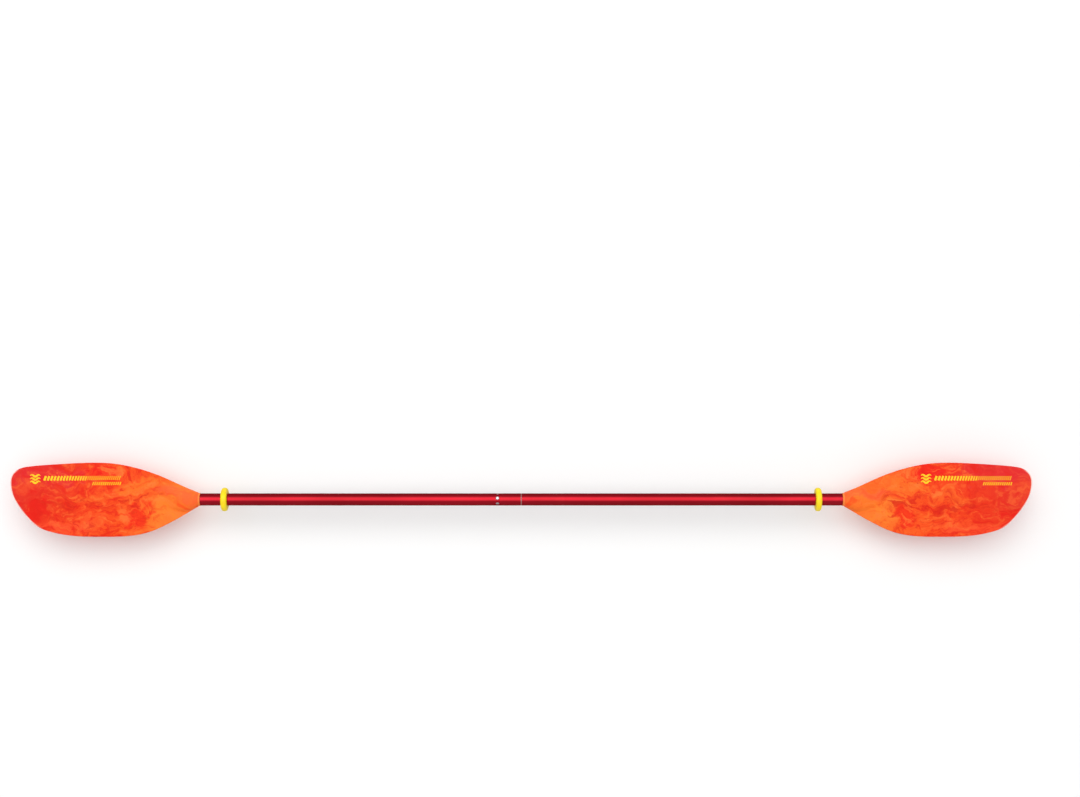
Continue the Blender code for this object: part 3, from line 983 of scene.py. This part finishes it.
    def neck_loops(self, neck: Sequence[Vector]) -> list[list[Vector]]:
        """Loops of the tang, its blind bore and the rounded lip of the neck.

        Args:
            neck: The first loop of the blade proper.

        Returns:
            The loops, from the middle of the bore's floor outward to the lip.
        """
        tang, mouth = BORE_R - FIT, -self.tang_length
        hollow = tang - self.tang_wall
        floor = mouth + self.tang_bore
        steps = [
            (floor, 0.0), (floor, hollow), (mouth, hollow), (mouth, tang - 1.5 * MM),
            (mouth + 1.5 * MM, tang), (0.0, tang), (0.0, NECK_R - 0.5 * MM),
            (0.15 * MM, NECK_R - 0.15 * MM), (0.5 * MM, NECK_R), (3.4 * MM, NECK_R + 0.12 * MM),
            (3.8 * MM, NECK_R - 0.1 * MM),
        ]
        loops = []
        for x, radius in steps:
            loop = []
            for point in neck:
                out = Vector((0.0, point.y, point.z)).normalized() * radius
                loop.append(Vector((x, out.y, out.z)))
            loops.append(loop)
        return loops

    def mesh(self) -> bpy.types.Object:
        """Wraps a grid round the blade's stations.

        Returns:
            The blade as one closed piece.
        """
        loops = self.stations()
        around = len(loops[0])
        deselect_all()
        bpy.ops.mesh.primitive_grid_add(x_subdivisions=around, y_subdivisions=len(loops) - 1,
                                        size=1.0)
        obj = bpy.context.object
        for vertex in obj.data.vertices:
            i = round((vertex.co.x + 0.5) * around) % around
            j = round((vertex.co.y + 0.5) * (len(loops) - 1))
            place = loops[j][i]
            vertex.co = (self.half.value * (BLADE_START + place.x), place.y, place.z)
        finish_shape(obj, f"{self.half.word}_blade_shell", 50.0)
        self.mark_edge_highlight(obj)
        return obj

    def mark_edge_highlight(self, obj: bpy.types.Object) -> None:
        """Writes a painted highlight: how pale each point is painted, only along the edge at the
        far end.

        Args:
            obj: The blade, whose points get the painted highlight's value.
        """
        rim = [p for edge, way in zip(self._edges(), (1, -1)) for p in self.rim_marks(edge, way)]
        tree = KDTree(len(rim))
        for i, (point, _) in enumerate(rim):
            tree.insert((point.x, point.y, 0.0), i)
        tree.balance()
        # The painted highlight is stored on the points, for the blade's material to lighten the
        # far-end edge.
        highlight_values = obj.data.attributes.new("painted_edge_highlight", "FLOAT", "POINT")
        for vertex, mark in zip(obj.data.vertices, highlight_values.data):
            u = abs(vertex.co.x) - BLADE_START
            _, nearest, away = tree.find((u, vertex.co.y, 0.0))
            mark.value = rim[nearest][1] * smooth_step(-away, -3.0 * MM, -1.5 * MM)

    def rim_marks(self, points: Sequence[Vector], way: int) -> list[tuple[Vector, float]]:
        """Each point of an edge, with how far the edge faces the far end there."""
        marks = []
        for k, point in enumerate(points):
            run = points[min(k + 1, len(points) - 1)] - points[max(k - 1, 0)]
            facing = -run.normalized().y * way
            marks.append((point, smooth_step(facing, 0.35, 0.75)))
        return marks

    def build(self) -> Piece:
        """Models the blade."""
        return Piece(self.mesh(), self.half.body, "blade_plastic", (f"{self.half.word}_blade",))


@dataclass
class BladeMark:
    """Printed device on a power face: three small waves and rows of slanted dashes."""

    blade: Blade
    start: float = 185 * MM
    run: float = 213 * MM
    proud: float = 0.10 * MM
    depth: float = 0.30 * MM
    waves: int = 3
    wave_low: float = 41.5 * MM
    wave_gap: float = 7.5 * MM
    wave_span: float = 24 * MM
    wave_swing: float = 2.2 * MM
    wave_thick: float = 5.0 * MM
    lean: float = 0.35
    row_start: float = 33 * MM
    row_top: float = 55.5 * MM
    broad_low: float = 45 * MM
    broad_width: float = 5.2 * MM
    broad_loss: float = 0.16 * MM
    broad_gap: float = 2.6 * MM
    broads: int = 15
    thin_low: float = 46 * MM
    thin_width: float = 1.6 * MM
    thin_pitch: float = 4.6 * MM
    small_reach: float = 68 * MM
    small_pitch: float = 4.9 * MM
    small_low: float = 34 * MM
    small_top: float = 41.5 * MM
    small_width: float = 2.2 * MM
    smalls: int = 14

    def spot(self, s: float, v: float, down: float = 0.0) -> Vector:
        """A point on the power face.

        Args:
            s: Distance along the print, in the direction in which it is read.
            v: Distance from the shaft's axis.
            down: How far below the print's own face.

        Returns:
            The point.
        """
        if self.blade.half is Half.RIGHT:
            u = self.start + s
        else:
            u = self.start + self.run - s
        x = self.blade.half.value * (BLADE_START + u)
        return Vector((x, v, self.blade.power_height(u, v) + self.proud - down))

    def ribbon(self, middle: Callable[[float], Point2], thickness: Callable[[float], float],
               pieces: int) -> bpy.types.Object:
        """A strip of ink laid on the blade.

        Args:
            middle: Place (s, v) of its middle line at a share of its length.
            thickness: Its width at that share.
            pieces: Steps along it.

        Returns:
            The strip as a closed piece.
        """
        deselect_all()
        bpy.ops.mesh.primitive_grid_add(x_subdivisions=pieces, y_subdivisions=1, size=1.0)
        obj = bpy.context.object
        for vertex in obj.data.vertices:
            t = vertex.co.x + 0.5
            s, v = middle(t)
            ahead, behind = middle(min(t + 0.01, 1.0)), middle(max(t - 0.01, 0.0))
            run = Vector((ahead[0] - behind[0], ahead[1] - behind[1])).normalized()
            side = Vector((-run.y, run.x)) * thickness(t) * vertex.co.y
            vertex.co = self.spot(s + side.x, v + side.y)
        edit(obj, "FACE")
        bpy.ops.mesh.select_all(action="SELECT")
        bpy.ops.mesh.extrude_region_move(TRANSFORM_OT_translate={"value": (0, 0, -self.depth)})
        return finish_shape(obj, "ink", 30.0)

    def dash(self, s: float, low: float, high: float, width: float) -> bpy.types.Object:
        """A slanted dash between two heights."""
        rise = high - low
        return self.ribbon(lambda t: (s + self.lean * rise * t, low + rise * t), lambda t: width, 2)

    def wave(self, level: float) -> bpy.types.Object:
        """A small wave of one and a half turns, with tapered ends."""
        return self.ribbon(
            lambda t: (self.wave_span * t, level + self.wave_swing * math.sin(3 * math.pi * t)),
            lambda t: self.wave_thick * (0.25 + 0.75 * math.sin(math.pi * t)), 28,
        )

    def build(self) -> Piece:
        """Lays all the strokes and joins them."""
        strokes = [self.wave(self.wave_low + self.wave_gap * i) for i in range(self.waves)]
        s = self.row_start
        for i in range(self.broads):
            width = self.broad_width - self.broad_loss * i
            strokes.append(self.dash(s, self.broad_low, self.row_top, width))
            s += width + self.broad_gap
        while s < self.run - 2 * self.thin_width:
            strokes.append(self.dash(s, self.thin_low, self.row_top, self.thin_width))
            s += self.thin_pitch
        for i in range(self.smalls):
            s = self.run - self.small_reach + self.small_pitch * i
            strokes.append(self.dash(s, self.small_low, self.small_top, self.small_width))
        take(strokes[0])
        for stroke in strokes[1:]:
            stroke.select_set(True)
        bpy.ops.object.join()
        obj = bpy.context.object
        obj.name = obj.data.name = f"{self.blade.half.word}_blade_print"
        return Piece(obj, self.blade.half.body, "blade_plastic")


@dataclass
class ShaftTube:
    """One half of the shaft, with its rivet hole and, on the left, three button holes."""

    half: Half
    seam: float = 1.1 * MM
    ease: float = 0.3 * MM

    def profile(self) -> list[Point2]:
        """Section of the wall, with points beside each hole so that the wall stays smooth."""
        marks = [TUBE_END - RIVET_FROM_BLADE]
        marks.append(-BUTTON_X if self.half is Half.LEFT else FERRULE_RIVET_X)
        stops = sorted(m + way * BESIDE_HOLE for m in marks for way in (-1, 1))
        outer = [self.seam + self.ease, *stops, TUBE_END - self.ease]
        points = [(x, SHAFT_R) for x in outer]
        points += arc((TUBE_END - self.ease, SHAFT_R - self.ease), self.ease, 90, 0, 4)[1:]
        points += [(x, BORE_R) for x in (TUBE_END, *reversed(stops), self.seam)]
        points += arc((self.seam + self.ease, SHAFT_R - self.ease), self.ease, 180, 90, 4)[:-1]
        return [(self.half.value * x, r) for x, r in points]

    def build(self) -> Piece:
        """Models the tube and bores its holes."""
        name = f"{self.half.word}_tube_wall"
        obj = spin_profile(self.profile(), steps=128, name=name)
        reach = (BORE_R - 3 * MM, SHAFT_R + 3 * MM)
        blade_rivet_x = self.half.value * (TUBE_END - RIVET_FROM_BLADE)
        bore(obj, blade_rivet_x, RIVET_ANGLE, RIVET_HOLE_R, reach)
        if self.half is Half.RIGHT:
            bore(obj, FERRULE_RIVET_X, RIVET_ANGLE, RIVET_HOLE_R, reach)
        else:
            for turn in (0, FEATHER_STEP, -FEATHER_STEP):
                bore(obj, BUTTON_X, BUTTON_ANGLE + turn, BUTTON_HOLE_R, reach)
        soften(obj, 0.12 * MM)
        return Piece(obj, self.half.body, "anodised_tube", (f"{self.half.word}_shaft_tube",))


@dataclass
class MiddleJoint:
    """Inner sleeve, seal ring, rivet and snap button of the pull-apart joint."""

    sleeve_r: float = 12.75 * MM
    sleeve_bore: float = 11.15 * MM
    inserted: float = 110 * MM
    fixed: float = 70 * MM
    seal_half: float = 0.8 * MM
    button_r: float = 4.0 * MM
    button_out: float = 2.6 * MM
    collar_out: float = 1.1 * MM
    collar_high: float = 0.8 * MM
    dome: float = 1.7 * MM
    leaf: float = 0.6 * MM
    leaf_half: float = 3 * MM
    leg: float = 44 * MM
    bend_r: float = 2.4 * MM

    def sleeve(self) -> Piece:
        """The inner sleeve, with a lead-in at its free end."""
        start, end = -self.inserted, self.fixed
        outer, inner = self.sleeve_r, self.sleeve_bore
        stops = [BUTTON_X - BESIDE_HOLE, BUTTON_X + BESIDE_HOLE,
                 FERRULE_RIVET_X - BESIDE_RIVET, FERRULE_RIVET_X + BESIDE_RIVET, end]
        profile = [(start, outer - 0.7 * MM), (start + 0.3 * MM, outer - 0.35 * MM),
                   (start + 2 * MM, outer)]
        profile += [(x, outer) for x in stops] + [(x, inner) for x in (*reversed(stops), start)]
        obj = spin_profile(profile, steps=96, name="sleeve_wall")
        reach = (inner - 2 * MM, outer + 2 * MM)
        bore(obj, BUTTON_X, BUTTON_ANGLE, BUTTON_HOLE_R, reach)
        bore(obj, FERRULE_RIVET_X, RIVET_ANGLE, RIVET_HOLE_R, reach)
        soften(obj, 0.12 * MM)
        return Piece(obj, "right_half", "sleeve_metal", ("ferrule_sleeve",))

    def seal(self) -> Piece:
        """The thin ring that shows as a pale line at the seam."""
        half, outer, inner, ease = self.seal_half, SHAFT_R, self.sleeve_r + FIT, 0.3 * MM
        profile = [(-half, inner), *arc((-half + ease, outer - ease), ease, 180, 90, 5),
                   *arc((half - ease, outer - ease), ease, 90, 0, 5), (half, inner)]
        obj = spin_profile(profile, steps=128, name="seal_band", angle=60)
        return Piece(obj, "joint_ring", "seal_rubber", ("joint_seal_ring",))

    def button_foot(self) -> float:
        """Distance from the axis to the underside of the button's collar."""
        rim = math.sqrt(self.sleeve_bore**2 - (self.button_r + self.collar_out) ** 2)
        return rim - self.collar_high - 1.5 * FIT

    def button(self) -> Piece:
        """The domed snap button with its collar."""
        radius, top, ease, steps = self.button_r, SHAFT_R + self.button_out, 0.1 * MM, 12
        collar, foot = radius + self.collar_out, self.button_foot()
        shoulder = foot + self.collar_high
        profile = [(foot, 0.0), (foot, collar - ease), (foot + ease, collar),
                   (shoulder - ease, collar), (shoulder, collar - ease),
                   (shoulder, radius), (top - self.dome, radius)]
        for i in range(1, steps + 1):
            turn = math.pi / 2 * i / steps
            height = top - self.dome * (1 - math.sin(turn))
            profile.append((height, radius * math.cos(turn) ** 0.75))
        profile[-1] = (top, 0.0)
        obj = spin_profile(profile, steps=48, closed=False, name="button_dome", angle=40,
                           place=radial_place(BUTTON_X, BUTTON_ANGLE))
        return Piece(obj, "button", "button_steel", ("snap_button",))

    def spring_path(self) -> list[Point2]:
        """Middle line (x, height) of the folded leaf: upper leg, bend and lower leg."""
        upper = self.button_foot() - FIT - self.leaf / 2
        lower = -math.sqrt(self.sleeve_bore**2 - self.leaf_half**2) + FIT + self.leaf / 2
        centre, reach, near = (upper + lower) / 2, self.leg - 6 * MM, self.button_r + 1.5 * MM
        rise, steps, pad = self.bend_r + 1.4 * MM, 12, 4
        path = [(-near + 2 * near * i / pad, upper) for i in range(pad + 1)]
        for i in range(1, steps + 1):
            path.append((near + (reach - near) * i / steps,
                         upper + (centre + rise - upper) * i / steps))
        path += arc((self.leg, centre), self.bend_r, 72, -72, 15)
        for i in range(steps + 1):
            path.append((reach + (near - reach) * i / steps,
                         centre - rise + (lower - centre + rise) * i / steps))
        return path + [(near - 2 * near * i / pad, lower) for i in range(1, pad + 1)]

    def spring(self) -> Piece:
        """The folded leaf spring, whose upper leg sits under the button."""
        path = self.spring_path()
        deselect_all()
        bpy.ops.mesh.primitive_grid_add(x_subdivisions=len(path) - 1, y_subdivisions=2, size=1.0)
        obj = bpy.context.object
        for vertex in obj.data.vertices:
            x, height = path[round((vertex.co.x + 0.5) * (len(path) - 1))]
            vertex.co = (height, x, 2 * self.leaf_half * vertex.co.y)
        wall = obj.modifiers.new("wall", "SOLIDIFY")
        wall.thickness = self.leaf
        wall.offset = 0.0
        wall.use_even_offset = True
        bpy.ops.object.modifier_apply(modifier=wall.name)
        place = radial_place(BUTTON_X, BUTTON_ANGLE)
        obj.matrix_world = place @ Matrix.Scale(-1, 4, (0, 1, 0))
        finish_shape(obj, "button_spring_leaf", 40.0)
        soften(obj, 0.1 * MM)
        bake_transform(obj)
        return Piece(obj, "", "spring_steel", ("button_spring",))

    def build(self) -> list[Piece]:
        """Models the joint's pieces."""
        rivet = Rivet("ferrule_rivet", FERRULE_RIVET_X, self.sleeve_bore - 1.5 * MM, "right_half")
        return [self.sleeve(), self.seal(), self.button(), self.spring(), rivet.build()]


@dataclass
class Rivet:
    """Blind rivet with a domed head and the dimple that its pin leaves."""

    node: str
    x: float
    inner: float
    body: str
    head_r: float = 4.0 * MM
    shank_r: float = 2.0 * MM
    height: float = 1.5 * MM
    brim: float = 0.35 * MM
    dimple_r: float = 1.45 * MM
    dome_turn: float = math.radians(70)
    dome_steps: int = 8

    def build(self) -> Piece:
        """Models the rivet on the underside of the shaft."""
        under = SHAFT_R + FIT
        profile = [(self.inner, 0.0), (self.inner, self.shank_r - 0.2 * MM),
                   (self.inner + 0.2 * MM, self.shank_r), (under, self.shank_r),
                   (under, self.head_r - 0.1 * MM), (under + 0.1 * MM, self.head_r),
                   (under + self.brim, self.head_r)]
        for i in range(1, self.dome_steps + 1):
            part = i / self.dome_steps
            rise = math.sin(self.dome_turn * part) / math.sin(self.dome_turn)
            profile.append((under + self.brim + (self.height - self.brim) * rise,
                            self.dimple_r + (self.head_r - self.dimple_r) * (1 - part) ** 0.8))
        profile += [(under + self.height - 0.1 * MM, 1.25 * MM),
                    (under + self.height - 0.7 * MM, 1.1 * MM),
                    (under + self.height - 0.75 * MM, 0.0)]
        obj = spin_profile(profile, steps=40, closed=False, name=f"{self.node}_head", angle=40,
                           place=radial_place(self.x, RIVET_ANGLE))
        return Piece(obj, self.body, "rivet_metal", (self.node,))


@dataclass
class DripRing:
    """Rubber ring that stops water running along the shaft."""

    half: Half
    outer: float = 27.5 * MM
    width: float = 13.7 * MM
    corner: float = 5.2 * MM
    from_blade: float = 57 * MM
    lip_depth: float = 0.9 * MM
    lip_width: float = 3.2 * MM
    mould_line: float = 0.06 * MM
    bore_round: float = 0.8 * MM

    def profile(self) -> list[Point2]:
        """Section of the ring: round shoulders, flat sides, a mould line and two grip lips."""
        half, inner = self.width / 2, SHAFT_R + FIT
        flat = half - self.corner
        points = arc((flat, self.outer - self.corner), self.corner, 0, 90, 14)
        points += [(0.45 * MM, self.outer), (0.15 * MM, self.outer + self.mould_line),
                   (-0.15 * MM, self.outer + self.mould_line), (-0.45 * MM, self.outer)]
        points += arc((-flat, self.outer - self.corner), self.corner, 90, 180, 14)
        groove, lip, ease = inner + self.lip_depth, self.lip_width, self.bore_round
        points += arc((-half + ease, inner + ease), ease, 180, 270, 5)
        points += [(-half + lip, inner), (-half + lip + self.lip_depth, groove),
                   (half - lip - self.lip_depth, groove), (half - lip, inner)]
        points += arc((half - ease, inner + ease), ease, 270, 360, 5)
        return points

    def build(self) -> Piece:
        """Models the ring."""
        x = self.half.value * (TUBE_END - self.from_blade)
        profile = [(x + along, radius) for along, radius in self.profile()]
        word = self.half.word
        obj = spin_profile(profile, steps=128, name=f"{word}_ring_moulding", angle=30)
        return Piece(obj, f"{word}_ring", "ring_rubber", (f"{word}_drip_ring",))


# ---------------------------------------------------------------- studio


@dataclass
class Studio:
    """Pale floor, soft overhead light and the camera above the paddle."""

    floor_z: float
    floor_size: float = 60.0
    camera_height: float = 4.4
    view_width: float = 2.546
    aim: Point2 = (0.044, 0.238)
    key_tilt: float = 16.0
    key_core: float = 10.0
    key_reach: float = 46.0
    lamp_place: tuple[float, float, float] = (-0.8, 2.6, 3.2)
    lamp_size: Point2 = (4.0, 2.0)
    lamp_power: float = 26.0

    def floor(self) -> None:
        """Lays the floor, which is seen from above only."""
        deselect_all()
        bpy.ops.mesh.primitive_plane_add(size=self.floor_size, location=(0, 0, self.floor_z))
        obj = bpy.context.object
        obj.name = "studio_floor"
        made = bpy.data.materials.new("pale_floor")
        made.use_nodes = True
        graph = Graph(made.node_tree)
        shader = made.node_tree.nodes["Principled BSDF"]
        cloud = graph.noise(graph.place(), 0.6, 3.0, 0.5)
        tone = graph.mix(cloud, (0.93, 0.93, 0.93, 1.0), (0.95, 0.95, 0.95, 1.0))
        graph.link(tone, shader.inputs["Base Color"])
        shader.inputs["Roughness"].default_value = 0.9
        shader.inputs["Specular IOR Level"].default_value = 0.1
        clear = graph.add("BsdfTransparent")
        behind = graph.add("NewGeometry").outputs["Backfacing"]
        both = graph.add("MixShader", {0: behind, 1: shader.outputs[0], 2: clear.outputs[0]})
        out = made.node_tree.nodes["Material Output"]
        graph.link(both.outputs[0], out.inputs["Surface"])
        obj.data.materials.append(made)
        obj.visible_glossy = False

    def sky(self) -> None:
        """Soft dome: bright overhead, dim at the sides, pale where the camera sees it."""
        world = bpy.data.worlds.new("soft_dome")
        bpy.context.scene.world = world
        world.use_nodes = True
        graph = Graph(world.node_tree)
        ray = graph.add("TexCoord").outputs["Generated"]
        tilt, reach, core = (math.radians(angle)
                             for angle in (self.key_tilt, self.key_reach, self.key_core))
        facing = graph.vector("DOT_PRODUCT", ray, (0.0, math.sin(tilt), math.cos(tilt)))
        overhead = graph.rise(facing, math.cos(reach), math.cos(core))
        height = graph.add("SeparateXYZ", {"Vector": ray}).outputs["Z"]
        above = graph.rise(height, -0.15, 0.1)
        low = graph.mix(above, (0.5, 0.5, 0.5, 1), (0.54, 0.54, 0.545, 1))
        light = graph.mix(overhead, low, (2.25, 2.25, 2.22, 1))
        seen = graph.mix(graph.add("LightPath").outputs["Is Camera Ray"], light,
                         (0.94, 0.94, 0.94, 1))
        back = world.node_tree.nodes["Background"]
        graph.link(seen, back.inputs["Color"])
        back.inputs["Strength"].default_value = 1.0

    def lamp(self) -> None:
        """One wide softbox from the long-edge side, for shape."""
        light = bpy.data.lights.new("softbox", "AREA")
        light.shape = "RECTANGLE"
        light.size, light.size_y = self.lamp_size
        light.energy = self.lamp_power
        obj = bpy.data.objects.new("softbox", light)
        bpy.context.scene.collection.objects.link(obj)
        obj.location = self.lamp_place
        obj.rotation_euler = (-obj.location).to_track_quat("-Z", "Y").to_euler()
        obj.visible_camera = False
        obj.visible_glossy = False

    def camera(self) -> None:
        """Places the camera straight above, aimed down."""
        lens = bpy.data.cameras.new("overhead")
        lens.sensor_width = 36.0
        lens.lens = 36.0 * self.camera_height / self.view_width
        lens.clip_end = 100.0
        obj = bpy.data.objects.new("overhead", lens)
        bpy.context.scene.collection.objects.link(obj)
        obj.location = (self.aim[0], self.aim[1], self.camera_height)
        bpy.context.scene.camera = obj

    def build(self) -> None:
        """Sets up the whole studio."""
        bpy.context.scene.view_settings.view_transform = "Standard"
        self.floor()
        self.sky()
        self.lamp()
        self.camera()


def dress_solids(effects: Effects) -> None:
    """Gives the solids that stay in view their finishes.

    Args:
        effects: The shared shader groups.
    """
    foam = Moulded("closed_cell_foam", "plug_foam", Grain.FOAM, 0.9, 0.2, "2a2a2c", "1d1d1f",
                   "6a6a68", 0.4).material(effects)
    for half in Half:
        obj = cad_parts[f"{half.word}_foam_plug"]
        obj.data.materials.clear()
        obj.data.materials.append(foam)
        log.info("%s keeps its solid and wears %s", obj.name, foam.name)


def main() -> None:
    """Builds every sub-assembly in order and dresses it."""
    logging.basicConfig(level=logging.INFO, format="%(message)s")
    effects = Effects()
    ink = Moulded("printed_ink", "blade_plastic", Grain.MOULDED, 0.45, 0.2, "ffcc16", "fdbe18",
                  "ffd468", 0.1).material(effects)
    finishes = (
        Anodised("dyed_tube", "anodised_tube", roughness=0.3),
        PlainMetal("drawn_sleeve", "sleeve_metal", roughness=0.34),
        PlainMetal("rivet_alloy", "rivet_metal", roughness=0.3, tone="d0d0d2"),
        PlainMetal("button_steel", "button_steel", roughness=0.2, tone="e2e2e4"),
        PlainMetal("rolled_spring_steel", "spring_steel", roughness=0.32, tone="a8a8ac",
                   tarnish="6e6e74"),
        Moulded("seal_rubber", "seal_rubber", Grain.RUBBER, 0.6, 0.4, "a86a66", "96605c",
                "c8a8a4", 0.3),
        Moulded("ring_rubber", "ring_rubber", Grain.RUBBER, 0.42, 0.4, "ffe400", "fbd800",
                "fff07a", 0.12),
    )
    dressed = {finish.slot: finish.material(effects) for finish in finishes}
    for half in Half:
        blade = Blade(half)
        plastic = MarbledPlastic(f"{half.word}_marbled_plastic", "blade_plastic", roughness=0.42,
                                 specular=0.1, seed=2.0 + half.value * 0.7)
        blade.build().settle(plastic.material(effects))
        BladeMark(blade).build().settle(ink)
        ShaftTube(half).build().settle(dressed["anodised_tube"])
        DripRing(half).build().settle(dressed["ring_rubber"])
        rivet = Rivet(f"{half.word}_blade_rivet", half.value * (TUBE_END - RIVET_FROM_BLADE),
                      SHAFT_R - 5.5 * MM, half.body)
        rivet.build().settle(dressed["rivet_metal"])
    for piece in MiddleJoint().build():
        piece.settle(dressed[piece.slot])
    dress_solids(effects)
    # The floor lies just under the reach of a feathered blade.
    sweep = -cad_box[0].y * math.sin(math.radians(FEATHER_STEP))
    Studio(floor_z=-sweep - FLOOR_ROOM).build()


if __name__ == "__main__":
    main()
